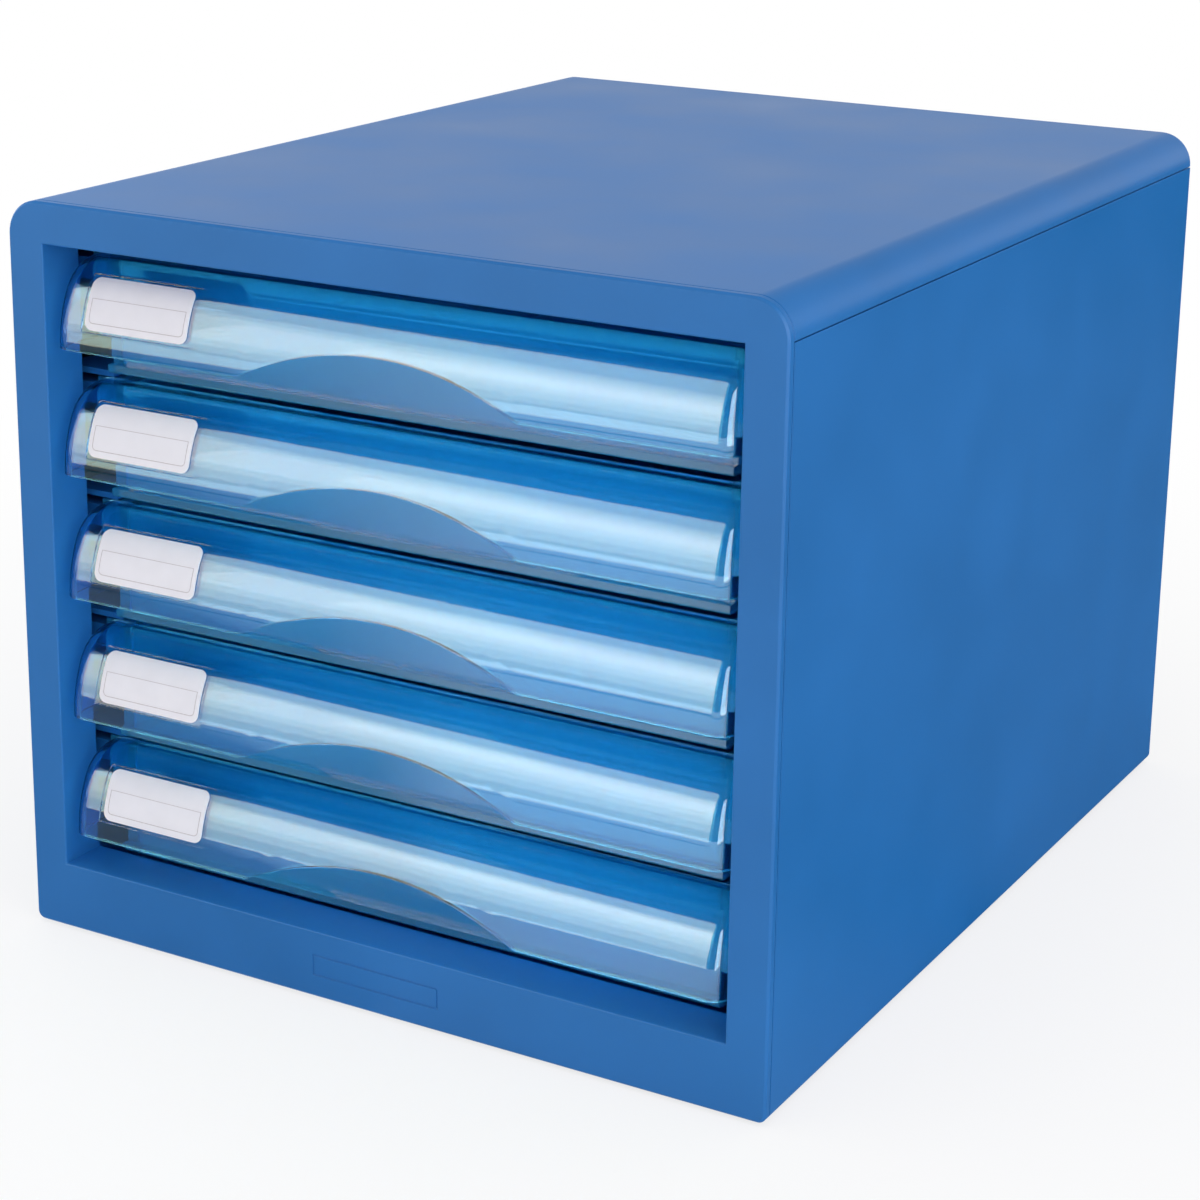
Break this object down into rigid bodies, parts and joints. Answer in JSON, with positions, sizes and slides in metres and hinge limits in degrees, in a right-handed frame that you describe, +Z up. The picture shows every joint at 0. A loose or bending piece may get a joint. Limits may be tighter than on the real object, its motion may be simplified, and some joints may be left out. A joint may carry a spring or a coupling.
{
  "type": "desktop drawer unit",
  "caption": "Desktop filing cabinet with a rounded plastic case and stacked clear drawers, whose convex fronts have an arched finger pull and a label field.",
  "frame": {"origin": "on the surface the unit stands on, under the middle of the cabinet", "axes": "+Z up, +Y from the front to the back, +X to the right seen from the front"},
  "size_m": [0.285, 0.35, 0.257],
  "materials": {
    "shell": "satin moulded plastic, mid blue",
    "tray": "clear blue tinted, polished",
    "front": "clear blue tinted, polished",
    "label": "white coated card",
    "pads": "matt rubber"
  },
  "bodies": {
    "cabinet": {"front_frame": "shell", "left_side_panel": "shell", "right_side_panel": "shell", "base_panel": "shell", "top_cover": "shell", "back_panel": "shell", "foot_front_left": "pads", "foot_back_left": "pads", "foot_front_right": "pads", "foot_back_right": "pads"},
    "drawer_1": {"drawer_tray_1": "tray", "drawer_front_1": "front", "label_1": "label"},
    "drawer_2": {"drawer_tray_2": "tray", "drawer_front_2": "front", "label_2": "label"},
    "drawer_3": {"drawer_tray_3": "tray", "drawer_front_3": "front", "label_3": "label"},
    "drawer_4": {"drawer_tray_4": "tray", "drawer_front_4": "front", "label_4": "label"},
    "drawer_5": {"drawer_tray_5": "tray", "drawer_front_5": "front", "label_5": "label"}
  },
  "joints": [
    {"name": "drawer_1_slide", "type": "slide", "parent": "cabinet", "child": "drawer_1", "axis": [0, -1, 0], "range_m": [0, 0.25]},
    {"name": "drawer_2_slide", "type": "slide", "parent": "cabinet", "child": "drawer_2", "axis": [0, -1, 0], "range_m": [0, 0.25]},
    {"name": "drawer_3_slide", "type": "slide", "parent": "cabinet", "child": "drawer_3", "axis": [0, -1, 0], "range_m": [0, 0.25]},
    {"name": "drawer_4_slide", "type": "slide", "parent": "cabinet", "child": "drawer_4", "axis": [0, -1, 0], "range_m": [0, 0.25]},
    {"name": "drawer_5_slide", "type": "slide", "parent": "cabinet", "child": "drawer_5", "axis": [0, -1, 0], "range_m": [0, 0.25]}
  ]
}
